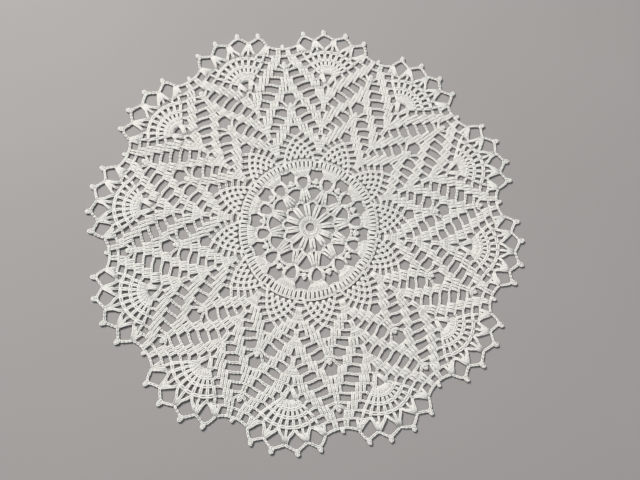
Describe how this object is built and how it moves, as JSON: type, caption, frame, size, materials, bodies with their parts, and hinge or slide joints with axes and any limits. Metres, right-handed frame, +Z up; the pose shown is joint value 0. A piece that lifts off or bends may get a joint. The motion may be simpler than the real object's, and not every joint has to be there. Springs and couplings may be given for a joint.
{
  "type": "lace doily",
  "caption": "Flat round crocheted lace doily with pineapple panels, solid bands, chain ladders and a scalloped picot edge.",
  "frame": {"origin": "middle of the underside of the doily's bounding box", "axes": "+Z up through the cloth, +Y towards the middle of the first fan, further fans clockwise seen from above"},
  "size_m": [0.3082, 0.307, 0.0015],
  "materials": {
    "cotton": "off-white mercerised cotton thread, matt with a faint sheen"
  },
  "bodies": {
    "root": {"doily": "cotton"}
  },
  "joints": []
}
